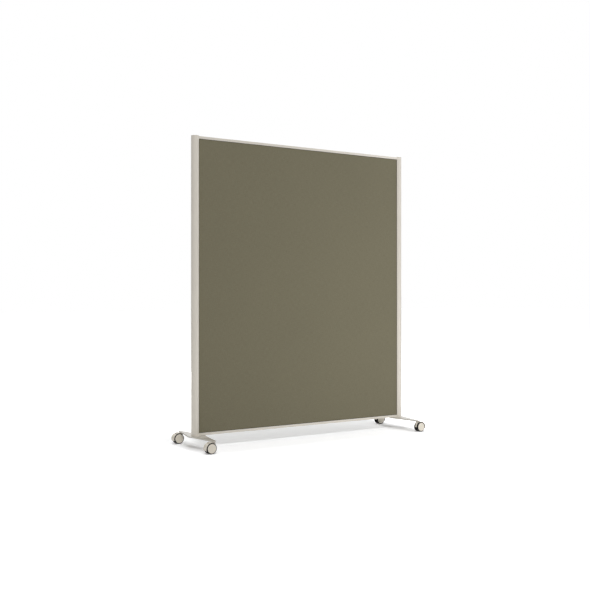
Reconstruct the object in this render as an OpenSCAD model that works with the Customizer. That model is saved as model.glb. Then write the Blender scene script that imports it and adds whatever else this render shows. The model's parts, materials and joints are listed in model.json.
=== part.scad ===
// Rolling partition: a fabric-faced panel held between two round posts. Each post stands on a
// tapered foot plate, and each end of a foot rides on a hooded twin-wheel caster with a brake pedal.
// X runs along the panel, Y through it and Z up. The origin is on the floor under the panel's middle.

/* [Overall] */
// Width over the outsides of the two posts
overall_w = 1524; // [900:1:1900]
// Height of the post caps above the floor
overall_h = 1774; // [1000:1:2200]

/* [Posts] */
// Outside diameter of a post
post_d = 45; // [43:0.5:56]
// Thickness of the post's walls and webs
post_wall = 2; // [1.6:0.1:2.6]
// Distance from a post's axis to the floor of the groove that takes the panel's edge
groove_floor = 11; // [9.5:0.5:13]
// Thickness of the cap on top of a post
cap_t = 2.5; // [2:0.1:5]
// Rounding of the cap's upper edge
cap_edge = 1; // [0.5:0.1:1.5]
// Length of the cap's pegs
peg_l = 14; // [8:1:30]

/* [Rails] */
// Height of the top and bottom rails
rail_h = 14.5; // [13.5:0.1:22]
// Thickness of the rails, front to back
rail_t = 26; // [25:0.1:28]
// Depth of the pocket that takes the panel's edge
pocket_d = 5; // [3:0.1:5.5]
// Web between a rail's hollow and its outer face
rail_outer_web = 2; // [1.8:0.1:2.4]
// Web between a rail's hollow and its pocket
rail_inner_web = 1.5; // [1:0.1:2]
// Side walls of a rail's hollow
rail_side = 1.5; // [1.2:0.1:2]

/* [Panel] */
// Thickness of the panel without its fabric
panel_t = 20; // [16:0.5:20.5]
// Thickness of each hardboard face
board_t = 3; // [2:0.5:5]
// Thickness of the padded fabric on each face
fabric_t = 1.5; // [1:0.1:1.6]

/* [Corner brackets] */
// Thickness of the plate that lies in the groove
bracket_t = 3; // [2.6:0.1:4]
// Height of that plate
bracket_h = 46; // [40:1:80]
// Length of the tongue inside the rail
tongue_l = 38; // [30:1:80]

/* [Feet] */
// Thickness of a foot plate
foot_t = 7; // [6.6:0.1:12]
// Distance from a foot's middle line to the panel's middle
foot_x_inset = 32; // [26:0.5:40]
// Radius of a foot's broad middle
foot_hub_r = 50; // [44:0.5:62]
// Radius of a foot's narrow ends
foot_tip_r = 9.5; // [9:0.1:14]
// Distance of a caster's swivel axis from the panel's middle plane
caster_y = 205; // [160:1:280]
// Distance from the swivel axis to the centre of the foot's rounded end
foot_tip_out = 8.5; // [0:0.5:20]
// Radius of the long hollow curve along each side of a foot
side_r = 2000; // [1200:50:4000]

/* [Casters] */
// Wheel diameter over the tyre
wheel_d = 62; // [58:1:75]
// Distance from the swivel axis back to the wheel axle
trail = 18; // [17:0.5:20]
// Width of the tyre's side that shows round a wheel's cover disc
tyre_show = 5.2; // [4:0.1:5.5]
// Width over the two wheels' outer faces
twin_w = 40; // [39:0.5:46]
// Thickness of the housing's web between the wheels
web_t = 13.4; // [13.2:0.1:13.6]
// Thickness of the hood and the pedal shell
hood_t = 1.5; // [1.2:0.1:2.2]
// Angle above the trailing horizontal where the fixed hood starts
hood_start = 66; // [64:1:72]
// Angle where it ends, in front of the top
hood_end = 110; // [106:1:112]
// Angle where the open slot along the middle of the hood ends
slot_end = 86; // [78:1:90]
// Angle where the pedal shell starts, below the trailing horizontal
pedal_start = -20; // [-26:1:-14]
// Angle where the pedal shell ends, below the hood
pedal_end = 61; // [56:1:62]
// Diameter of the swivel pin
pin_d = 8; // [7.6:0.1:8.4]
// Diameter of the threaded end in the foot
stem_d = 10; // [9:0.5:11]
// Diameter of the wheel axle
axle_d = 6; // [5:0.5:7]
// Diameter of the pedal's pivot pin
pedal_pin_d = 3; // [2.5:0.5:3.5]

/* [Fits] */
// Gap between a running shaft and its bore, on the radius
run_gap = 0.05; // [0.03:0.01:0.09]
// Gap round parts that slide together when they are assembled
slip_gap = 0.2; // [0.1:0.05:0.3]
// Gap between the tyres and the hood, on the radius
tyre_gap = 0.7; // [0.5:0.1:1.2]
// Gap between the hood and the foot plate above it
foot_gap = 0.8; // [0.5:0.1:2]

/* [Hidden] */
$fn = 96;
tiny = 0.01;
front_left = ["front_left", -1, -1];
front_right = ["front_right", 1, -1];
rear_left = ["rear_left", -1, 1];
rear_right = ["rear_right", 1, 1];
CORNERS = [front_left, front_right, rear_left, rear_right];
FRAME_NODES = [
    "left_post", "right_post", "left_post_cap", "right_post_cap", "top_rail", "bottom_rail",
    "corner_brackets", "bracket_screws", "rail_screws", "panel_core", "front_board",
    "rear_board", "front_fabric", "rear_fabric", "left_foot", "right_foot", "post_bolts",
    "caster_stems", "stem_clips"
];
CASTER_NODES = [
    "housing", "axle", "pedal", "pedal_pin", "front_hub", "front_tyre", "front_disc",
    "rear_hub", "rear_tyre", "rear_disc"
];

// Colours
paint = [0.78, 0.75, 0.71];
zinc = [0.72, 0.73, 0.75];
honeycomb = [0.76, 0.68, 0.53];
hardboard = [0.45, 0.31, 0.19];
cloth = [0.45, 0.43, 0.35];
caster_beige = [0.82, 0.79, 0.72];
nylon_dark = [0.16, 0.16, 0.17];
tyre_black = [0.07, 0.07, 0.07];

// Caster heights, from the floor up
wheel_r = wheel_d / 2;
hood_r = wheel_r + tyre_gap;
foot_bottom = wheel_r + hood_r + hood_t + foot_gap;
foot_top = foot_bottom + foot_t;
flange_t = 1;
flange_r = 9;
thrust_gap = 0.1;
collar_top = foot_bottom - flange_t - thrust_gap;
collar_r = 9.5;
collar_h = 2.2;

// Posts: their axes, and the two ports that take the bolts and the cap's pegs
post_r = post_d / 2;
post_x = overall_w / 2 - post_r;
post_top = overall_h - cap_t;
bolt_d = 8;
port_wall = 2.2;
port_x = -5;
port_y = 9;
port_r = bolt_d / 2 + run_gap;
groove_w = rail_t + 2 * slip_gap;

// Rails and panel: both end just short of the bracket plates
end_x = post_x - groove_floor - bracket_t - slip_gap;
hollow_h = rail_h - rail_outer_web - rail_inner_web - pocket_d;
pocket_w = panel_t + 2 * fabric_t + 2 * slip_gap;
rail_edge = 0.8;
panel_low = foot_top + rail_h - pocket_d;
panel_high = post_top - rail_h + pocket_d - slip_gap;

// Corner brackets and their countersunk screws
bracket_w = rail_t - 2 * rail_side - 2 * slip_gap;
tongue_h = hollow_h - 2 * slip_gap;
tongue_mid = rail_outer_web + hollow_h / 2;
small_screw_r = 2;
small_head_r = 3.7;
small_head_h = 1.7;
bracket_screw_l = 10;
bracket_screw_zs = [16, 32];
rail_screw_x = 22;

// Feet: a hollow side curve meets the hub's circle and the tip's circle, and dips into both a
// hair deeper than a tangent so that the outlines cross cleanly
foot_x = overall_w / 2 - foot_x_inset;
foot_tip_y = caster_y + foot_tip_out;
side_dip = 0.02;
hub_reach = side_r + foot_hub_r - side_dip;
tip_reach = side_r + foot_tip_r - side_dip;
side_y = (hub_reach * hub_reach - tip_reach * tip_reach + foot_tip_y * foot_tip_y) / (2 * foot_tip_y);
side_x = sqrt(hub_reach * hub_reach - side_y * side_y);
blend_over = 6;
bolt_head_r = 8;
bolt_head_h = 4;
bolt_l = 38;
socket_r = 2.9;
socket_h = 2.6;
skin_t = 1.2;

// Stems: the thread stops under the foot's top skin, and a clip holds the housing on the pin
stem_hole_top = foot_top - skin_t;
pin_r = pin_d / 2;
pin_above_axle = 5.5;
pin_low = wheel_r + pin_above_axle;
pin_nose = 2;
clip_t = 1;
clip_z = pin_low + pin_nose;
clip_r = 5.3;
clip_groove_depth = 0.9;
clip_groove_r = pin_r - clip_groove_depth;
clip_room = 0.4;
clip_pocket_r = clip_r + clip_room;
clip_shoulder = clip_z + clip_t + clip_room;
clip_mouth = 35;

// Housing, seen from the side with the axle at the origin
web_inset = 1.5;
web_r = wheel_r - web_inset;
web_low = -2;
axle_r = axle_d / 2;
boss_wall = 8;
neck_half = collar_r;
hood_side_in = 1.2;
hood_half_w = twin_w / 2 - hood_side_in;
slot_depth = 9;

// Where the web is cut back under the pedal's shell
seat_depth = 7;
seat_low = -60;
seat_high = hood_start - 1;

// Pedal: it turns on a pin in the web, and its shell is set back to leave room for its travel
pivot_in = 11;
pivot = (wheel_r - pivot_in) * [cos(45), sin(45)];
pedal_shift = [0.9, -0.8];
pedal_rise = 0.5;
pedal_r = hood_r + pedal_rise;
pedal_pin_r = pedal_pin_d / 2;
arm_t = 6;
arm_r = 4.5;
arm_gap = 0.4;
arm_low = -8;
arm_high = 58;
arm_swing = 3;
pedal_travel = 6;
lip_angle = 24;
lip_r = 1.3;
lip_out = 2.2;
lip_half_w = 14;

// Wheels, measured outward from the plane between the two
half_w = twin_w / 2;
wheel_play = 0.2;
rim_clear = 1.3;
tread_h = 6.2;
disc_r = wheel_r - tyre_show;
disc_t = 1.6;
disc_edge = 0.8;
disc_rim = 4.5;
disc_dish = 0.4;
spigot_t = 1.6;
spigot_h = 2.4;
rim_out = half_w - disc_t;
rim_in = web_t / 2 + rim_clear;
rim_r = wheel_r - tread_h;
rim_wall = 3.3;
spoke_t = 4;
hub_r = 7.5;
hub_in = web_t / 2 + wheel_play;
axle_room = 0.6;
axle_half = rim_out - axle_room;
axle_nose = 0.6;
hub_out = axle_half - axle_nose;
snap_h = 0.8;
snap_depth = 0.4;
snap_in = 1.4;
snap_w = hub_out - snap_in;
tyre_side = 0.2;
tyre_shoulder = 3;

// ---- Placing ----

// A post's own frame, with +X towards the panel
module at_post(side)
    rotate([0, 0, side < 0 ? 0 : 180])
        translate([-post_x, 0, 0])
            children();

// A foot's own frame, with Z on the foot's middle
module at_foot(side)
    translate([side * foot_x, 0, foot_bottom])
        children();

// A caster's own frame: Z is the swivel axis, and the wheels trail towards +X, away from the panel
module at_caster(corner)
    translate([corner[1] * foot_x, corner[2] * caster_y, 0])
        rotate([0, 0, corner[1] > 0 ? 0 : 180])
            children();

// The side view of a caster: X trails and Y is up, measured from the axle
module side_view()
    translate([trail, 0, wheel_r])
        rotate([90, 0, 0])
            children();

// The axle's frame, with Z outward through the wheel on that side
module on_axle(side)
    translate([trail, 0, wheel_r])
        rotate([-90 * side, 0, 0])
            children();

// ---- Small shared shapes ----

// A wedge between two directions, less than a half turn apart
module wedge(r, from, to) {
    middle = (from + to) / 2;
    polygon([
        [0, 0],
        [r * cos(from), r * sin(from)],
        [r * cos(middle), r * sin(middle)],
        [r * cos(to), r * sin(to)]
    ]);
}

// A rectangle round the origin with rounded corners
module rounded_rect(w, h, r) {
    square([w - 2 * r, h], center = true);
    square([w, h - 2 * r], center = true);
    for (x = [-1, 1], y = [-1, 1])
        translate([x * (w / 2 - r), y * (h / 2 - r)])
            circle(r = r);
}

// A countersunk screw with its head's face at Z = 0 and its shank towards +Z
module countersunk(head_r, head_h, shank_r, length) {
    cylinder(r1 = head_r, r2 = shank_r, h = head_h);
    cylinder(r = shank_r, h = length);
}

// ---- Posts ----

module post_section() {
    difference() {
        union() {
            difference() {
                circle(r = post_r);
                difference() {
                    circle(r = post_r - post_wall);
                    translate([groove_floor - post_wall, -groove_w / 2 - post_wall])
                        square([post_r, groove_w + 2 * post_wall]);
                }
            }
            post_webs();
        }
        for (y = [-1, 1])
            translate([port_x, y * port_y])
                circle(r = port_r);
        translate([groove_floor, -groove_w / 2])
            square([post_r, groove_w]);
    }
}

// Inner webs: one across the post through both ports, and one from each port to the groove's floor
module post_webs() {
    web_reach = post_r - post_wall / 2;
    translate([port_x - post_wall / 2, -sqrt(web_reach * web_reach - port_x * port_x)])
        square([post_wall, 2 * sqrt(web_reach * web_reach - port_x * port_x)]);
    for (y = [-1, 1]) {
        translate([port_x, y * port_y - post_wall / 2])
            square([groove_floor - port_x, post_wall]);
        translate([port_x, y * port_y])
            circle(r = port_r + port_wall);
    }
}

module post(side)
    color(paint)
        at_post(side)
            difference() {
                translate([0, 0, foot_top])
                    linear_extrude(post_top - foot_top)
                        post_section();
                for (end = [0, 1], z = bracket_screw_zs)
                    translate([groove_floor - post_wall - tiny, 0, bracket_z(end, z)])
                        rotate([0, 90, 0])
                            cylinder(r = small_screw_r, h = post_wall + 2 * tiny);
            }

// Height of a bracket screw, counted from the rail's outer face at the bottom or top end
function bracket_z(end, z) = end == 0 ? foot_top + z : post_top - z;

module left_post() post(-1);

module right_post() post(1);

module post_cap(side)
    color(paint)
        at_post(side)
            translate([0, 0, post_top]) {
                rotate_extrude()
                    cap_profile();
                for (y = [-1, 1])
                    translate([port_x, y * port_y, -peg_l])
                        cylinder(r = port_r - run_gap, h = peg_l + tiny);
            }

module cap_profile() {
    square([post_r, cap_t - cap_edge]);
    square([post_r - cap_edge, cap_t]);
    translate([post_r - cap_edge, cap_t - cap_edge])
        intersection() {
            circle(r = cap_edge);
            square(cap_edge);
        }
}

module left_post_cap() post_cap(-1);

module right_post_cap() post_cap(1);

// ---- Rails ----

// Section with the outer face along Y = 0 and the panel's pocket open towards -Y
module rail_section()
    difference() {
        translate([0, -rail_h / 2])
            rounded_rect(rail_t, rail_h, rail_edge);
        translate([-rail_t / 2 + rail_side, -rail_outer_web - hollow_h])
            square([rail_t - 2 * rail_side, hollow_h]);
        translate([-pocket_w / 2, -rail_h - tiny])
            square([pocket_w, pocket_d + tiny]);
    }

// up is 1 for the top rail and -1 for the bottom one
module rail(up)
    color(paint)
        difference() {
            translate([-end_x, 0, up > 0 ? post_top : foot_top])
                rotate([90, 0, 90])
                    linear_extrude(2 * end_x)
                        scale([1, up])
                            rail_section();
            for (side = [-1, 1])
                rail_screw_place(side, up)
                    countersunk(small_head_r, small_head_h, small_screw_r, rail_outer_web + tiny);
        }

// A rail screw's frame: Z points from the rail's outer face into the tongue
module rail_screw_place(side, up)
    at_post(side)
        translate([groove_floor + bracket_t + rail_screw_x, 0, up > 0 ? post_top : foot_top])
            rotate([up > 0 ? 180 : 0, 0, 0])
                children();

module top_rail() rail(1);

module bottom_rail() rail(-1);

// ---- Corner brackets ----

// Side view of a bracket for the top rail: plate against the post, tongue into the rail
module bracket_outline() {
    translate([0, -bracket_h])
        square([bracket_t, bracket_h]);
    translate([0, -tongue_mid - tongue_h / 2])
        square([bracket_t + slip_gap + tongue_l - tongue_h / 2, tongue_h]);
    translate([bracket_t + slip_gap + tongue_l - tongue_h / 2, -tongue_mid])
        circle(d = tongue_h);
}

module bracket(side, up)
    at_post(side)
        translate([groove_floor, 0, up > 0 ? post_top : foot_top])
            rotate([90, 0, 0])
                scale([1, up])
                    linear_extrude(bracket_w, center = true)
                        bracket_outline();

// A bracket screw's frame: Z points from the bracket plate's face into the post
module bracket_screw_place(side, end, z)
    at_post(side)
        translate([groove_floor + bracket_t, 0, bracket_z(end, z)])
            rotate([0, -90, 0])
                children();

module corner_brackets()
    color(zinc)
        difference() {
            for (side = [-1, 1], up = [-1, 1])
                bracket(side, up);
            for (side = [-1, 1], end = [0, 1], z = bracket_screw_zs)
                bracket_screw_place(side, end, z)
                    countersunk(small_head_r, small_head_h, small_screw_r, bracket_t + tiny);
            for (side = [-1, 1], up = [-1, 1])
                rail_screw_place(side, up)
                    cylinder(r = small_screw_r, h = tongue_mid + tongue_h);
        }

module bracket_screws()
    color(zinc)
        for (side = [-1, 1], end = [0, 1], z = bracket_screw_zs)
            bracket_screw_place(side, end, z)
                countersunk(small_head_r, small_head_h, small_screw_r, bracket_screw_l);

module rail_screws()
    color(zinc)
        for (side = [-1, 1], up = [-1, 1])
            rail_screw_place(side, up)
                countersunk(small_head_r, small_head_h, small_screw_r, tongue_mid + tongue_h / 2);

// ---- Panel ----

// A sheet as long and high as the panel, from y_low to y_low + t
module panel_sheet(y_low, t)
    translate([-end_x, y_low, panel_low])
        cube([2 * end_x, t, panel_high - panel_low]);

module panel_core()
    color(honeycomb)
        panel_sheet(board_t - panel_t / 2, panel_t - 2 * board_t);

module front_board()
    color(hardboard)
        panel_sheet(-panel_t / 2, board_t);

module rear_board()
    color(hardboard)
        panel_sheet(panel_t / 2 - board_t, board_t);

module front_fabric()
    color(cloth)
        panel_sheet(-panel_t / 2 - fabric_t, fabric_t);

module rear_fabric()
    color(cloth)
        panel_sheet(panel_t / 2, fabric_t);

// ---- Feet ----

// One quarter of the foot between the hub's circle and a tip's circle, for one side curve
module foot_blend()
    difference() {
        polygon([
            [0, 0],
            [side_x, side_y] * (foot_hub_r + blend_over) / hub_reach,
            [0, foot_tip_y] + [side_x, side_y - foot_tip_y] * (foot_tip_r + blend_over) / tip_reach,
            [0, foot_tip_y]
        ]);
        translate([side_x, side_y])
            circle(r = side_r, $fn = 720);
    }

module foot_outline() {
    circle(r = foot_hub_r);
    for (y = [-1, 1])
        translate([0, y * foot_tip_y])
            circle(r = foot_tip_r);
    for (x = [-1, 1], y = [-1, 1])
        scale([x, y])
            foot_blend();
}

module foot(side)
    color(paint)
        difference() {
            at_foot(side)
                linear_extrude(foot_t)
                    foot_outline();
            for (y = [-1, 1])
                bolt_place(side, y)
                    countersunk(bolt_head_r, bolt_head_h, bolt_d / 2 + run_gap, foot_t + tiny);
            for (y = [-1, 1])
                translate([side * foot_x, y * caster_y, foot_bottom - tiny])
                    cylinder(d = stem_d, h = stem_hole_top - foot_bottom + tiny);
        }

// A post bolt's frame: Z points up from the foot's underside
module bolt_place(side, y)
    at_post(side)
        translate([port_x, y * port_y, foot_bottom])
            children();

module left_foot() foot(-1);

module right_foot() foot(1);

module post_bolts()
    color(zinc)
        for (side = [-1, 1], y = [-1, 1])
            bolt_place(side, y)
                difference() {
                    countersunk(bolt_head_r, bolt_head_h, bolt_d / 2, bolt_l);
                    translate([0, 0, -tiny])
                        cylinder(r = socket_r, h = socket_h, $fn = 6);
                }

// ---- Caster stems and clips ----

module stem_profile()
    difference() {
        union() {
            translate([0, foot_bottom])
                square([stem_d / 2, stem_hole_top - foot_bottom - slip_gap]);
            translate([0, foot_bottom - flange_t])
                square([flange_r, flange_t]);
            translate([0, pin_low])
                square([pin_r, foot_bottom - pin_low]);
        }
        translate([clip_groove_r, clip_z])
            square([pin_r, clip_t]);
    }

module caster_stems()
    color(zinc)
        for (corner = CORNERS)
            at_caster(corner)
                rotate_extrude()
                    stem_profile();

// An open ring pushed into the groove from the side
module stem_clips()
    color(zinc)
        for (corner = CORNERS)
            at_caster(corner)
                translate([0, 0, clip_z])
                    linear_extrude(clip_t)
                        difference() {
                            circle(r = clip_r);
                            circle(r = clip_groove_r);
                            wedge(2 * clip_r, -clip_mouth, clip_mouth);
                        }

// ---- Caster housing: web, hood and swivel neck in one moulding ----

// Half section of a fender of thickness t, rounded along its two side edges
module fender_profile(r) {
    translate([r, -hood_half_w + hood_t / 2])
        square([hood_t, 2 * hood_half_w - hood_t]);
    for (y = [-1, 1])
        translate([r + hood_t / 2, y * (hood_half_w - hood_t / 2)])
            circle(r = hood_t / 2);
}

module fender(r, from, to)
    rotate([0, 0, from])
        rotate_extrude(angle = to - from)
            fender_profile(r);

module web_outline() {
    difference() {
        intersection() {
            circle(r = web_r);
            translate([-wheel_r, web_low])
                square([wheel_d, wheel_d]);
        }
        difference() {
            wedge(wheel_d, seat_low, seat_high);
            circle(r = wheel_r - seat_depth);
        }
    }
    circle(r = axle_r + boss_wall);
    translate([-trail - neck_half, web_low])
        square([2 * neck_half, collar_top - collar_h - wheel_r - web_low + tiny]);
    // The part of the web that reaches up to the hood
    intersection() {
        circle(r = hood_r + hood_t / 2);
        wedge(wheel_d, hood_start, hood_end);
    }
}

module housing()
    color(caster_beige)
        difference() {
            union() {
                side_view()
                    linear_extrude(web_t, center = true)
                        web_outline();
                side_view()
                    fender(hood_r, hood_start, hood_end);
                translate([0, 0, collar_top - collar_h])
                    cylinder(r = collar_r, h = collar_h);
            }
            translate([0, 0, clip_shoulder - tiny])
                cylinder(r = pin_r + run_gap, h = collar_top - clip_shoulder + 2 * tiny);
            cylinder(r = clip_pocket_r, h = clip_shoulder);
            side_view() {
                cylinder(r = axle_r, h = 2 * web_t, center = true);
                translate(pivot)
                    cylinder(r = pedal_pin_r, h = 2 * web_t, center = true);
                linear_extrude(arm_t + 2 * arm_gap, center = true) {
                    arm_slot_outline();
                    hood_slot_outline();
                }
            }
        }

// The slot that the pedal's arm turns in
module arm_slot_outline()
    translate(pivot) {
        circle(r = arm_r + arm_gap);
        wedge(wheel_d, arm_low - pedal_travel - arm_swing, arm_high + arm_swing);
    }

// The open slot that carries on from it through the hood
module hood_slot_outline()
    difference() {
        wedge(wheel_d, pedal_end, slot_end);
        circle(r = hood_r - slot_depth);
    }

module axle()
    color(zinc)
        side_view()
            rotate_extrude()
                difference() {
                    translate([0, -axle_half])
                        square([axle_r, 2 * axle_half]);
                    for (y = [-1, 1])
                        translate([axle_r - snap_depth, y * (snap_w + snap_h / 2) - snap_h / 2 - slip_gap])
                            square([axle_r, snap_h + 2 * slip_gap]);
                }

// ---- Brake pedal ----

module arm_outline() {
    translate(pivot)
        circle(r = arm_r);
    intersection() {
        translate(pedal_shift)
            circle(r = pedal_r + hood_t / 2);
        translate(pivot)
            wedge(wheel_d, arm_low, arm_high);
    }
}

module pedal()
    color(caster_beige)
        side_view()
            difference() {
                union() {
                    translate(pedal_shift)
                        fender(pedal_r, pedal_start, pedal_end);
                    linear_extrude(arm_t, center = true)
                        arm_outline();
                    linear_extrude(2 * lip_half_w, center = true)
                        lip_outline();
                }
                translate(pivot)
                    cylinder(r = pedal_pin_r + run_gap, h = 2 * web_t, center = true);
            }

// The toe lip along the shell's outside
module lip_outline()
    translate(pedal_shift)
        rotate([0, 0, lip_angle]) {
            translate([pedal_r + hood_t / 2, -lip_r])
                square([hood_t / 2 + lip_out, 2 * lip_r]);
            translate([pedal_r + hood_t + lip_out, 0])
                circle(r = lip_r);
        }

module pedal_pin()
    color(zinc)
        side_view()
            translate(pivot)
                cylinder(r = pedal_pin_r, h = web_t - slip_gap, center = true);

// ---- Wheels ----

module hub_profile() {
    difference() {
        union() {
            translate([rim_r - rim_wall, rim_in])
                square([rim_wall, rim_out - rim_in]);
            translate([0, (rim_in + rim_out - spoke_t) / 2])
                square([rim_r - tiny, spoke_t]);
            translate([0, hub_in])
                square([hub_r, hub_out - hub_in]);
        }
        square([axle_r + run_gap, twin_w]);
    }
    // The ridge that snaps into the axle's groove
    translate([axle_r + run_gap - snap_depth, snap_w])
        square([snap_depth + tiny, snap_h]);
}

module tyre_profile() {
    low = rim_in + tyre_side;
    high = rim_out - tyre_side;
    corner_r = wheel_r - tyre_shoulder;
    translate([rim_r, low])
        square([corner_r - rim_r, high - low]);
    translate([rim_r, low + tyre_shoulder])
        square([wheel_r - rim_r, high - low - 2 * tyre_shoulder]);
    for (y = [low + tyre_shoulder, high - tyre_shoulder])
        translate([corner_r, y])
            circle(r = tyre_shoulder);
}

// A cover disc: slightly dished inside a raised rim, with a ring behind it that plugs into the hub
module disc_profile() {
    spigot_r = rim_r - rim_wall - run_gap;
    difference() {
        union() {
            translate([0, rim_out])
                square([disc_r - disc_edge, disc_t]);
            translate([disc_r - disc_edge, rim_out + disc_t - disc_edge])
                circle(r = disc_edge);
        }
        translate([-tiny, half_w - disc_dish])
            square([disc_r - disc_rim - disc_dish + tiny, 2 * disc_dish]);
        translate([disc_r - disc_rim - disc_dish, half_w])
            circle(r = disc_dish);
    }
    translate([spigot_r - spigot_t, rim_out - spigot_h])
        square([spigot_t, spigot_h + tiny]);
}

module hub(side)
    color(nylon_dark)
        on_axle(side)
            rotate_extrude()
                hub_profile();

module tyre(side)
    color(tyre_black)
        on_axle(side)
            rotate_extrude()
                tyre_profile();

module disc(side)
    color(caster_beige)
        on_axle(side)
            rotate_extrude()
                disc_profile();

// The wheel on a caster's front side is the one nearer the front of the partition
function wheel_side(corner, front) = (front ? -1 : 1) * (corner[1] > 0 ? 1 : -1);

module front_hub(corner) hub(wheel_side(corner, true));

module front_tyre(corner) tyre(wheel_side(corner, true));

module front_disc(corner) disc(wheel_side(corner, true));

module rear_hub(corner) hub(wheel_side(corner, false));

module rear_tyre(corner) tyre(wheel_side(corner, false));

module rear_disc(corner) disc(wheel_side(corner, false));

// ---- What is drawn ----

left_post();
right_post();
left_post_cap();
right_post_cap();
top_rail();
bottom_rail();
corner_brackets();
bracket_screws();
rail_screws();
panel_core();
front_board();
rear_board();
front_fabric();
rear_fabric();
left_foot();
right_foot();
post_bolts();
caster_stems();
stem_clips();

for (corner = CORNERS) {
    at_caster(corner) housing();
    at_caster(corner) axle();
    at_caster(corner) pedal();
    at_caster(corner) pedal_pin();
    at_caster(corner) front_hub(corner);
    at_caster(corner) front_tyre(corner);
    at_caster(corner) front_disc(corner);
    at_caster(corner) rear_hub(corner);
    at_caster(corner) rear_tyre(corner);
    at_caster(corner) rear_disc(corner);
}
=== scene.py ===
"""A rolling partition in a plain studio: finishes, padded fabric faces, softened edges and light.

Everything is in metres in the part's own frame: X along the panel, Y through it towards the rear,
Z up, origin on the floor under the panel's middle.
"""

import json
import math

import bmesh
import bpy
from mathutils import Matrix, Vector
from mathutils.bvhtree import BVHTree


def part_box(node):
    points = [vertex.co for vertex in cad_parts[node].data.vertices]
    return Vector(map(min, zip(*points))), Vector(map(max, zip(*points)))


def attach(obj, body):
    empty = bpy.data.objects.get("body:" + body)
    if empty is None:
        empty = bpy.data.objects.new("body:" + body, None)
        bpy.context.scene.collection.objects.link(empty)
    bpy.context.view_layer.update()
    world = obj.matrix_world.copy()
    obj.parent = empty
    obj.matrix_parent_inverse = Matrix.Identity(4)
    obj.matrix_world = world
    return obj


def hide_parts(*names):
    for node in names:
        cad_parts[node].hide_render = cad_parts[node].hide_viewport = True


MM = 0.001

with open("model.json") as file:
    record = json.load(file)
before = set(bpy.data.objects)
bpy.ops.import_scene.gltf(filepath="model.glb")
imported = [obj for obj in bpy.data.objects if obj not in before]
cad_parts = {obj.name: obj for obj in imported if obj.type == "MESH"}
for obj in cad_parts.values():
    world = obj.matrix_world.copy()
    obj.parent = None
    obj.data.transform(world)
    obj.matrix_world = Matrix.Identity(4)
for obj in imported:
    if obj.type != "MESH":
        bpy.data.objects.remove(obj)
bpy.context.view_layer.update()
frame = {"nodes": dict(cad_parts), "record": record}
nodes = frame["nodes"]
record = frame["record"]
slot_of = {part["node"]: part["material_slot"] for part in record["subparts"]}
body_of = {name: body for body, group in record["behaviour"]["bodies"].items() for name in group}


# ---- Camera, placed where the photograph was taken from ----

PHOTO_PX = 590
FOCAL_PX = 892.44
SENSOR_MM = 36.0
CAMERA_PLACE = (-3.0098, -4.5576, 0.8682)
CAMERA_LEVEL = math.radians(90)
CAMERA_TURN = math.radians(-32.871)
HORIZON_BELOW_CENTRE_PX = 0.32
NEAREST_SEEN = 0.05


def make_camera():
    data = bpy.data.cameras.new("camera")
    data.sensor_width = SENSOR_MM
    data.lens = FOCAL_PX * SENSOR_MM / PHOTO_PX
    data.shift_y = HORIZON_BELOW_CENTRE_PX / PHOTO_PX
    data.clip_start = NEAREST_SEEN
    camera = bpy.data.objects.new("camera", data)
    camera.location = CAMERA_PLACE
    camera.rotation_euler = (CAMERA_LEVEL, 0, CAMERA_TURN)
    bpy.context.scene.collection.objects.link(camera)
    bpy.context.scene.camera = camera


# ---- Node trees ----

# The span in which nearly all of a noise's values lie
NOISE_SPAN = (0.3, 0.7)


def colour(red, green, blue):
    return (red, green, blue, 1.0)


def around(middle, reach):
    return (middle - reach, middle + reach)


class Graph:
    """A node tree being built, with short ways to add nodes and feed their sockets."""

    def __init__(self, tree):
        self.tree = tree

    def node(self, kind, **settings):
        made = self.tree.nodes.new("ShaderNode" + kind)
        for key, value in settings.items():
            setattr(made, key, value)
        return made

    def feed(self, socket, source):
        """Links a node's output to a socket, or sets the socket to a plain value."""
        if isinstance(source, bpy.types.NodeSocket):
            self.tree.links.new(source, socket)
        else:
            socket.default_value = source

    def math(self, operation, first, second=0.0):
        made = self.node("Math", operation=operation)
        self.feed(made.inputs[0], first)
        self.feed(made.inputs[1], second)
        return made.outputs[0]

    def vector(self, operation, first, second):
        made = self.node("VectorMath", operation=operation)
        self.feed(made.inputs[0], first)
        self.feed(made.inputs[1], second)
        return made.outputs["Vector"]

    def length(self, vector):
        made = self.node("VectorMath", operation="LENGTH")
        self.feed(made.inputs[0], vector)
        return made.outputs["Value"]

    def remap(self, source, span, target, **settings):
        """Maps the span of the source onto the target span."""
        made = self.node("MapRange", **settings)
        made.inputs["From Min"].default_value = span[0]
        made.inputs["From Max"].default_value = span[1]
        made.inputs["To Min"].default_value = target[0]
        made.inputs["To Max"].default_value = target[1]
        self.feed(made.inputs["Value"], source)
        return made.outputs["Result"]

    def mix_floats(self, share, first, second):
        made = self.node("Mix", data_type="FLOAT")
        self.feed(made.inputs[0], share)
        self.feed(made.inputs[2], first)
        self.feed(made.inputs[3], second)
        return made.outputs[0]

    def mix_colours(self, share, first, second, blend_type="MIX"):
        made = self.node("Mix", data_type="RGBA", blend_type=blend_type)
        self.feed(made.inputs[0], share)
        self.feed(made.inputs[6], first)
        self.feed(made.inputs[7], second)
        return made.outputs[2]

    def mix_shaders(self, share, first, second):
        made = self.node("MixShader")
        self.feed(made.inputs[0], share)
        self.feed(made.inputs[1], first)
        self.feed(made.inputs[2], second)
        return made.outputs[0]

    def seen_directly(self):
        """1 for rays of the camera, of mirror-like gloss and of glass, else 0."""
        path = self.node("LightPath")
        seen = path.outputs["Is Camera Ray"]
        for ray in ("Is Glossy Ray", "Is Transmission Ray"):
            seen = self.math("MAXIMUM", seen, path.outputs[ray])
        return seen


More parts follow.
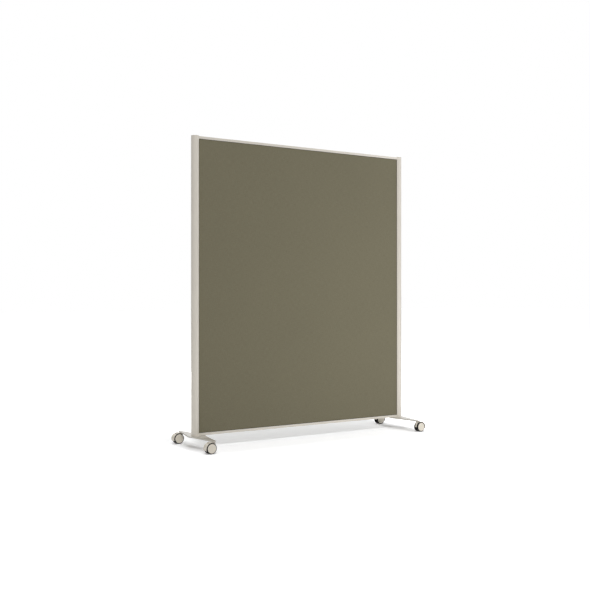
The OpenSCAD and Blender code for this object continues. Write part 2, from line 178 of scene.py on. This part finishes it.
class Finish(Graph):
    """A material being built: its shader, its object coordinates, and ways to vary it in space."""

    def __init__(self, name):
        self.material = bpy.data.materials.new(name)
        self.material.use_nodes = True
        super().__init__(self.material.node_tree)
        self.shader = self.tree.nodes["Principled BSDF"]
        self.place = self.node("TexCoord").outputs["Object"]

    def noise(self, scale, detail, stretch=(1, 1, 1)):
        mapping = self.node("Mapping")
        mapping.inputs["Scale"].default_value = stretch
        self.feed(mapping.inputs["Vector"], self.place)
        made = self.node("TexNoise")
        made.inputs["Scale"].default_value = scale
        made.inputs["Detail"].default_value = detail
        self.feed(made.inputs["Vector"], mapping.outputs["Vector"])
        return made.outputs["Fac"]

    def spread(self, noise, target):
        """Maps a noise's usual span onto the target span."""
        return self.remap(noise, NOISE_SPAN, target, clamp=False)

    def tint(self, base, factor):
        """The base colour times a grey factor that varies over the surface."""
        grey = self.node("CombineColor")
        for channel in grey.inputs:
            self.feed(channel, factor)
        return self.mix_colours(1.0, base, grey.outputs[0], "MULTIPLY")

    def bump(self, height, distance, strength=1.0, under=None):
        made = self.node("Bump")
        made.inputs["Strength"].default_value = strength
        made.inputs["Distance"].default_value = distance
        self.feed(made.inputs["Height"], height)
        if under is not None:
            self.feed(made.inputs["Normal"], under)
        return made.outputs["Normal"]

    def set(self, **values):
        """Sets the shader's sockets by name, with underscores for spaces."""
        for key, value in values.items():
            socket = key.replace("_", " ").title().replace("Ior", "IOR")
            self.feed(self.shader.inputs[socket], value)


# ---- Finishes ----

PAINT_COLOUR = colour(0.680, 0.637, 0.568)
PAINT_ROUGHNESS = 0.34
PAINT_SPECULAR = 0.35
# The feet's colour is the frame's paint darkened, as painted shade on the plates
PLATE_COLOUR_WITH_PAINTED_SHADE = colour(0.505, 0.475, 0.420)
PLATE_ROUGHNESS = 0.16
PLATE_SPECULAR = 0.5
PAINT_TONE = (0.992, 1.008)
PAINT_SPECKLE = (0.985, 1.015)
PAINT_GLOSS_DRIFT = 0.01
PEEL_HEIGHT = 0.03 * MM


def paint(name, base, roughness, specular):
    """Powder coat: a faint orange peel and hardly any change of tone."""
    coat = Finish(name)
    tone = coat.spread(coat.noise(scale=5, detail=1), PAINT_TONE)
    speckle = coat.spread(coat.noise(scale=2600, detail=1), PAINT_SPECKLE)
    gloss = coat.noise(scale=12, detail=1)
    peel = coat.noise(scale=700, detail=1)
    coat.set(
        base_color=coat.tint(base, coat.math("MULTIPLY", tone, speckle)),
        roughness=coat.spread(gloss, around(roughness, PAINT_GLOSS_DRIFT)),
        specular_ior_level=specular,
        normal=coat.bump(peel, PEEL_HEIGHT),
    )
    return coat.material


CAP_ROUGHNESS = 0.36
CASTER_COLOUR = colour(0.718, 0.668, 0.576)
CASTER_ROUGHNESS = 0.40
HUB_COLOUR = colour(0.02, 0.02, 0.022)
HUB_ROUGHNESS = 0.45
PLASTIC_TONE = (0.98, 1.02)
PLASTIC_GLOSS_DRIFT = 0.04
GRAIN_HEIGHT = 0.02 * MM


def moulded_plastic(name, base, roughness):
    """Injection-moulded plastic with a fine spark-eroded grain."""
    skin = Finish(name)
    tone = skin.spread(skin.noise(scale=120, detail=2), PLASTIC_TONE)
    gloss = skin.noise(scale=400, detail=2)
    grain = skin.noise(scale=3500, detail=2)
    skin.set(
        base_color=skin.tint(base, tone),
        roughness=skin.spread(gloss, around(roughness, PLASTIC_GLOSS_DRIFT)),
        normal=skin.bump(grain, GRAIN_HEIGHT),
    )
    return skin.material


ZINC_COLOUR = colour(0.60, 0.60, 0.61)
ZINC_ROUGHNESS = (0.27, 0.42)
STREAK_TONE = (0.93, 1.05)
STREAK_STRETCH = (1, 1, 0.05)
STREAK_HEIGHT = 0.01 * MM


def plated_steel(name):
    """Zinc-plated steel with faint drawn streaks."""
    metal = Finish(name)
    streaks = metal.noise(scale=700, detail=3, stretch=STREAK_STRETCH)
    gloss = metal.noise(scale=300, detail=3)
    metal.set(
        base_color=metal.tint(ZINC_COLOUR, metal.spread(streaks, STREAK_TONE)),
        metallic=1.0,
        roughness=metal.spread(gloss, ZINC_ROUGHNESS),
        normal=metal.bump(streaks, STREAK_HEIGHT),
    )
    return metal.material


RUBBER_COLOUR = colour(0.006, 0.006, 0.006)
RUBBER_ROUGHNESS = (0.50, 0.66)
RUBBER_SPECULAR = 0.15
RUBBER_GRAIN_HEIGHT = 0.03 * MM
DUST_COLOUR = colour(0.05, 0.046, 0.040)
DUST_SHARE = (0.0, 0.06)


def rubber(name):
    """Tyre rubber: near black, a little dusty."""
    tread = Finish(name)
    dust = tread.spread(tread.noise(scale=260, detail=4), DUST_SHARE)
    gloss = tread.noise(scale=500, detail=3)
    grain = tread.noise(scale=1800, detail=3)
    tread.set(
        base_color=tread.mix_colours(dust, RUBBER_COLOUR, DUST_COLOUR),
        specular_ior_level=RUBBER_SPECULAR,
        roughness=tread.spread(gloss, RUBBER_ROUGHNESS),
        normal=tread.bump(grain, RUBBER_GRAIN_HEIGHT),
    )
    return tread.material


PAPER_DARK = colour(0.26, 0.19, 0.11)
PAPER_LIGHT = colour(0.40, 0.31, 0.20)
PAPER_FIBRES = 500
BOARD_DARK = colour(0.09, 0.045, 0.02)
BOARD_LIGHT = colour(0.17, 0.09, 0.045)
BOARD_FIBRES = 900
FIBRE_SHARE = (0.0, 1.0)
FIBRE_ROUGHNESS = 0.85
FIBRE_HEIGHT = 0.15 * MM


def fibre_board(name, dark, light, fibres_per_metre):
    """Pressed fibres: hardboard, or the paper of a honeycomb."""
    board = Finish(name)
    fibres = board.noise(scale=fibres_per_metre, detail=5)
    board.set(
        base_color=board.mix_colours(board.spread(fibres, FIBRE_SHARE), dark, light),
        roughness=FIBRE_ROUGHNESS,
        normal=board.bump(fibres, FIBRE_HEIGHT),
    )
    return board.material


# Depth of the cloth in the groove along the frame, from the panel's middle plane
FABRIC_LOW = 11.35 * MM
FABRIC_DARK = colour(0.154, 0.139, 0.089)
FABRIC_LIGHT = colour(0.211, 0.193, 0.127)
FABRIC_ROUGHNESS = 0.92
FABRIC_SPECULAR = 0.25
FABRIC_SHEEN = 0.12
FABRIC_SHEEN_ROUGHNESS = 0.5
THREAD = 1.9 * MM
# How square a thread's crown is along its length, and how often its colour drifts
THREAD_FLATNESS = 0.35
YARN_DRIFTS_PER_METRE = 35
YARN_LIGHT_SHARE = (0.1, 0.9)
CLOUD_TONE = (0.985, 1.015)
# Painted shade between the threads, and painted light on their crowns
WEAVE_SHADE = (0.84, 1.05)
WEAVE_HEIGHT = 0.22 * MM
WEAVE_STRENGTH = 0.7
FUZZ_HEIGHT = 0.04 * MM
FUZZ_STRENGTH = 0.5
# Painted shade: the share of the cloth's colour left down in the groove along the frame
GROOVE_SHADE = 0.35
GROOVE_RISE = 0.9 * MM


def woven_fabric(name):
    """Plain-woven panel cloth of heathered yarn: every other crossing shows the warp on top.

    The cloth is darker down in the groove along the frame, as painted shade.
    """
    cloth = Finish(name)
    axes = cloth.node("SeparateXYZ")
    cloth.feed(axes.inputs[0], cloth.place)
    across = cloth.math("MULTIPLY", axes.outputs["X"], 1 / THREAD)
    along = cloth.math("MULTIPLY", axes.outputs["Z"], 1 / THREAD)
    warp = cloth.math("ABSOLUTE", cloth.math("SINE", cloth.math("MULTIPLY", across, math.pi)))
    weft = cloth.math("ABSOLUTE", cloth.math("SINE", cloth.math("MULTIPLY", along, math.pi)))
    crossings = cloth.math("ADD", cloth.math("FLOOR", across), cloth.math("FLOOR", along))
    weft_on_top = cloth.math("PINGPONG", crossings, 1.0)
    warp_crown = cloth.math("MULTIPLY", warp, cloth.math("POWER", weft, THREAD_FLATNESS))
    weft_crown = cloth.math("MULTIPLY", weft, cloth.math("POWER", warp, THREAD_FLATNESS))
    height = cloth.mix_floats(weft_on_top, warp_crown, weft_crown)

    # Yarn colour drifts along each thread, and each thread differs a little from the next
    warp_yarn = cloth.noise(scale=1, detail=2, stretch=(1 / THREAD, 1, YARN_DRIFTS_PER_METRE))
    weft_yarn = cloth.noise(scale=1, detail=2, stretch=(YARN_DRIFTS_PER_METRE, 1, 1 / THREAD))
    yarn = cloth.mix_floats(weft_on_top, warp_yarn, weft_yarn)
    heather = cloth.spread(yarn, YARN_LIGHT_SHARE)

    cloud = cloth.spread(cloth.noise(scale=2.2, detail=3), CLOUD_TONE)
    # Painted shade between the threads and painted light on their crowns
    depth = cloth.remap(height, (0, 1), WEAVE_SHADE)
    out = cloth.math("ABSOLUTE", axes.outputs["Y"])
    # Painted shade down in the groove along the frame
    groove = cloth.remap(out, (FABRIC_LOW, FABRIC_LOW + GROOVE_RISE), (GROOVE_SHADE, 1))
    shade = cloth.math("MULTIPLY", cloth.math("MULTIPLY", depth, cloud), groove)
    fuzz = cloth.bump(cloth.noise(scale=4200, detail=2), FUZZ_HEIGHT, FUZZ_STRENGTH)
    cloth.set(
        base_color=cloth.tint(cloth.mix_colours(heather, FABRIC_DARK, FABRIC_LIGHT), shade),
        roughness=FABRIC_ROUGHNESS,
        specular_ior_level=FABRIC_SPECULAR,
        sheen_weight=FABRIC_SHEEN,
        sheen_roughness=FABRIC_SHEEN_ROUGHNESS,
        normal=cloth.bump(height, WEAVE_HEIGHT, WEAVE_STRENGTH, fuzz),
    )
    return cloth.material


# One finish for each of the record's material slots
finishes = {
    "painted_extrusion": paint("painted_extrusion", PAINT_COLOUR, PAINT_ROUGHNESS, PAINT_SPECULAR),
    "post_cap": moulded_plastic("post_cap", PAINT_COLOUR, CAP_ROUGHNESS),
    "painted_plate": paint("painted_plate", PLATE_COLOUR_WITH_PAINTED_SHADE, PLATE_ROUGHNESS, PLATE_SPECULAR),
    "plated_steel": plated_steel("plated_steel"),
    "honeycomb_core": fibre_board("honeycomb", PAPER_DARK, PAPER_LIGHT, PAPER_FIBRES),
    "hardboard": fibre_board("hardboard", BOARD_DARK, BOARD_LIGHT, BOARD_FIBRES),
    "panel_fabric": woven_fabric("panel_fabric"),
    "caster_plastic": moulded_plastic("caster_plastic", CASTER_COLOUR, CASTER_ROUGHNESS),
    "hub_plastic": moulded_plastic("hub_plastic", HUB_COLOUR, HUB_ROUGHNESS),
    "tyre": rubber("tyre"),
}


def finish_cad_nodes():
    for name, node in nodes.items():
        node.material_slots[0].material = finishes[slot_of[name]]


# ---- Pieces that take the place of plain CAD nodes ----


def add_piece(name, mesh, replaced):
    """Makes an object of the mesh, with the finish and body of the node that it replaces, and
    hides that node.
    """
    piece = bpy.data.objects.new(name, mesh)
    bpy.context.scene.collection.objects.link(piece)
    mesh.materials.clear()
    mesh.materials.append(finishes[slot_of[replaced]])
    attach(piece, body_of[replaced])
    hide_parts(replaced)
    return piece


SHARP = math.radians(38)
SAME_POINT = 0.05 * MM
SAME_PLANE = math.radians(0.4)
SLIVER = 0.002 * MM
# Furthest that a rounding moves a point, as a share of its radius
FURTHEST_ROUNDED = 0.5
ROUND_ARC = 0.5


def soften(node, radius, segments):
    """Replaces a node by a copy whose sharp edges are rounded by the radius.

    A point that ends further off the node's surface than a rounding can move it is a spike where
    edges meet at a shallow angle, and goes back onto the surface.
    """
    work = bmesh.new()
    work.from_mesh(nodes[node].data)
    bmesh.ops.remove_doubles(work, verts=work.verts, dist=SAME_POINT)
    bmesh.ops.dissolve_limit(work, angle_limit=SAME_PLANE, verts=work.verts, edges=work.edges)
    surface = BVHTree.FromBMesh(work)
    sharp = [e for e in work.edges if e.is_manifold and e.calc_face_angle() > SHARP]
    bmesh.ops.bevel(
        work,
        geom=sharp,
        offset=radius,
        offset_type="OFFSET",
        segments=segments,
        profile=ROUND_ARC,
        affect="EDGES",
        clamp_overlap=False,
    )
    for point in work.verts:
        nearest, _, _, moved = surface.find_nearest(point.co)
        if moved > FURTHEST_ROUNDED * radius:
            point.co = nearest
    bmesh.ops.remove_doubles(work, verts=work.verts, dist=SLIVER)
    bmesh.ops.dissolve_degenerate(work, edges=work.edges, dist=SLIVER)
    mesh = bpy.data.meshes.new(node + "_softened")
    work.to_mesh(mesh)
    work.free()
    mesh.shade_smooth()
    mesh.set_sharp_from_angle(angle=SHARP)
    piece = add_piece(node + "_softened", mesh, node)
    weigh = piece.modifiers.new("weigh", "WEIGHTED_NORMAL")
    weigh.keep_sharp = True


# ---- Fabric faces ----

FABRIC_SWELL = 1.25 * MM
FOLD = math.radians(60)
# Width of the flat cloth in the groove along the frame, and of the rolled edge beyond it
GROOVE = 2 * MM
EDGE_ROLL = 6 * MM
# Distances of the grid lines from the frame, in millimetres, and their spacing elsewhere
EDGE_STEPS = (0, 1, 2, 2.3, 2.9, 3.8, 5, 6.4, 8, 12, 20)
GRID_STEP = 22 * MM
RIPPLE = 0.12 * MM
# Radians per metre, and the phase at the origin, along X and Z
RIPPLE_WAVES = (5.1, 3.7)
RIPPLE_PHASES = (1.3, 0.4)


def spaced(low, high, open_low, open_high):
    """Grid lines from low to high, close together just inside the opening's two edges."""
    near = [open_low + step * MM for step in EDGE_STEPS]
    far = [open_high - step * MM for step in reversed(EDGE_STEPS)]
    count = round((far[0] - near[-1]) / GRID_STEP)
    middle = [near[-1] + (far[0] - near[-1]) * i / count for i in range(1, count)]
    return [low, *near, *middle, *far, high]


def roll(distance):
    """How far the padding has risen: 0 in the groove at the frame, 1 past the rolled edge."""
    inside = min(max((distance - GROOVE) / EDGE_ROLL, 0.0), 1.0)
    return math.sqrt(1.0 - (1.0 - inside) ** 2)


def ripple(x, z):
    across = math.sin(RIPPLE_WAVES[0] * x + RIPPLE_PHASES[0])
    along = math.sin(RIPPLE_WAVES[1] * z + RIPPLE_PHASES[1])
    return RIPPLE * across * along


def make_fabric_face(node, front):
    """Cloth over thin foam: flat and full between the frame's edges, rolled in along them."""
    low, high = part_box(node)
    post_edge = -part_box("left_post")[1].x
    rail_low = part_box("bottom_rail")[1].z
    rail_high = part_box("top_rail")[0].z
    xs = spaced(low.x, high.x, -post_edge, post_edge)
    zs = spaced(low.z, high.z, rail_low, rail_high)
    side = -1 if front else 1
    back_y = high.y if front else low.y

    def depth(x, z):
        full = roll(post_edge - abs(x)) * roll(min(z - rail_low, rail_high - z))
        return FABRIC_LOW + full * (FABRIC_SWELL + ripple(x, z))

    work = bmesh.new()
    columns = [[work.verts.new((x, side * depth(x, z), z)) for z in zs] for x in xs]
    corners = [(low.x, low.z), (high.x, low.z), (high.x, high.z), (low.x, high.z)]
    back = [work.verts.new((x, back_y, z)) for x, z in corners]
    for left, right in zip(columns, columns[1:]):
        for i in range(len(zs) - 1):
            work.faces.new((left[i], right[i], right[i + 1], left[i + 1]))
    lower_left, lower_right, upper_right, upper_left = back
    work.faces.new(back)
    work.faces.new([lower_left, lower_right] + [column[0] for column in reversed(columns)])
    work.faces.new([upper_left, upper_right] + [column[-1] for column in reversed(columns)])
    work.faces.new([lower_left, upper_left] + list(reversed(columns[0])))
    work.faces.new([lower_right, upper_right] + list(reversed(columns[-1])))
    bmesh.ops.recalc_face_normals(work, faces=work.faces)
    mesh = bpy.data.meshes.new(node + "_padded")
    work.to_mesh(mesh)
    work.free()
    mesh.shade_smooth()
    mesh.set_sharp_from_angle(angle=FOLD)
    piece = add_piece(node + "_padded", mesh, node)


# ---- Studio ----

FLOOR_HALF = 40.0
FLOOR_GREY = colour(0.85, 0.85, 0.85)
FLOOR_SEEN = colour(0.985, 0.99, 1.0)
# The floor's glow near and far from the strip under the panel, and the distances between which it
# rises; across the ends of the strip, distances count more
# The low glow near the strip is painted shade, a pool of it around the object's real shadow
FLOOR_GLOW_WITH_PAINTED_SHADE = (0.145, 1.0)
GLOW_RISE = (0.16, 0.55)
SIDE_RISE = 3.5
# The strip of painted shade reaches this far behind the panel's middle plane
SHADE_BEHIND = 0.22
SKY_COLOUR = colour(1.0, 0.99, 0.97)
SKY_FOR_LIGHT = 0.01
WHITE = colour(1, 1, 1)


def make_floor():
    """A pale floor: white where it is lit or far away, greyer where the object shades it and where
    painted shade dims its glow near the object.

    What the camera and reflections see glows, and more so away from the object, so that the floor
    is white and has no visible end. To the light it is a plain pale grey.
    """
    material = bpy.data.materials.new("studio_floor")
    material.use_nodes = True
    ground = Graph(material.node_tree)
    ground.tree.nodes.remove(ground.tree.nodes["Principled BSDF"])

    post_middle = (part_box("right_post")[0].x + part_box("right_post")[1].x) / 2
    place = ground.node("TexCoord").outputs["Object"]
    in_strip = ground.vector("MINIMUM", place, (post_middle, SHADE_BEHIND, 0))
    in_strip = ground.vector("MAXIMUM", in_strip, (-post_middle, 0, 0))
    beyond = ground.vector("SUBTRACT", place, in_strip)
    distance = ground.length(ground.vector("MULTIPLY", beyond, (SIDE_RISE, 1, 1)))
    # Painted shade: the glow is low near the object and rises away from it
    strength = ground.remap(distance, GLOW_RISE, FLOOR_GLOW_WITH_PAINTED_SHADE, interpolation_type="SMOOTHSTEP")

    glow = ground.node("Emission")
    ground.feed(glow.inputs["Strength"], strength)
    shaded = ground.node("BsdfDiffuse")
    ground.feed(shaded.inputs["Color"], FLOOR_SEEN)
    white = ground.node("AddShader")
    ground.feed(white.inputs[0], shaded.outputs[0])
    ground.feed(white.inputs[1], glow.outputs[0])
    plain = ground.node("BsdfDiffuse")
    ground.feed(plain.inputs["Color"], FLOOR_GREY)
    surface = ground.mix_shaders(ground.seen_directly(), plain.outputs[0], white.outputs[0])
    ground.feed(ground.tree.nodes["Material Output"].inputs["Surface"], surface)

    reach = FLOOR_HALF
    corners = [(-reach, -reach, 0), (reach, -reach, 0), (reach, reach, 0), (-reach, reach, 0)]
    mesh = bpy.data.meshes.new("studio_floor")
    mesh.from_pydata(corners, [], [(0, 1, 2, 3)])
    mesh.materials.append(material)
    floor = bpy.data.objects.new("studio_floor", mesh)
    bpy.context.scene.collection.objects.link(floor)


def make_world():
    """White behind the object, and a plain soft light from all round."""
    world = bpy.data.worlds.new("studio")
    bpy.context.scene.world = world
    world.use_nodes = True
    sky = Graph(world.node_tree)
    light = sky.tree.nodes["Background"]
    sky.feed(light.inputs["Color"], SKY_COLOUR)
    sky.feed(light.inputs["Strength"], SKY_FOR_LIGHT)
    white = sky.node("Background")
    sky.feed(white.inputs["Color"], WHITE)
    sky.feed(white.inputs["Strength"], 1.0)
    surface = sky.mix_shaders(sky.seen_directly(), light.outputs[0], white.outputs[0])
    sky.feed(sky.tree.nodes["World Output"].inputs["Surface"], surface)


# Each soft box's place, the point that it faces, its side in metres and its power in watts
SOFT_BOXES = {
    "key_softbox": ((-4.2, -5.6, 7.0), (0, 0, 0.6), 1.8, 352),
    "top_softbox": ((0.3, 0.3, 7.5), (0, 0, 0), 5.8, 362),
    "low_softbox": ((0.9, -1.8, 0.35), (0.5, 0, 0.9), 1.0, 12.5),
    "right_softbox": ((2.4, -2.1, 2.1), (0.7, 0, 1.5), 0.8, 12.5),
    "side_softbox": ((1.9, -0.45, 2.3), (0.74, 0, 1.5), 0.5, 3.5),
    "left_softbox": ((-4.2, -0.3, 0.7), (-0.6, 0, 0.2), 1.4, 8),
    "rear_softbox": ((0.5, 4.6, 1.4), (0, 0, 0.8), 2.4, 74),
}
# The rear one lights surfaces without showing in the gloss of the foot plates
NOT_MIRRORED = ("rear_softbox",)


def make_lights():
    for name, (place, target, side, watts) in SOFT_BOXES.items():
        data = bpy.data.lights.new(name, "AREA")
        data.shape = "SQUARE"
        data.size = side
        data.energy = watts
        lamp = bpy.data.objects.new(name, data)
        lamp.location = place
        facing = Vector(target) - Vector(place)
        lamp.rotation_euler = facing.to_track_quat("-Z", "Y").to_euler()
        lamp.visible_glossy = name not in NOT_MIRRORED
        bpy.context.scene.collection.objects.link(lamp)


# ---- Building ----

FRAME_EDGES = {
    "left_foot": 1.0 * MM,
    "right_foot": 1.0 * MM,
    "left_post_cap": 0.8 * MM,
    "right_post_cap": 0.8 * MM,
    "top_rail": 0.5 * MM,
    "bottom_rail": 0.5 * MM,
}
FRAME_SEGMENTS = 3
CASTER_EDGE = 0.4 * MM
CASTER_SEGMENTS = 2

bpy.context.scene.view_settings.view_transform = "Standard"
make_camera()
finish_cad_nodes()
make_fabric_face("front_fabric", True)
make_fabric_face("rear_fabric", False)
for name, radius in FRAME_EDGES.items():
    soften(name, radius, FRAME_SEGMENTS)
for name in sorted(nodes):
    if name.endswith(("_housing", "_pedal")):
        soften(name, CASTER_EDGE, CASTER_SEGMENTS)
make_floor()
make_world()
make_lights()
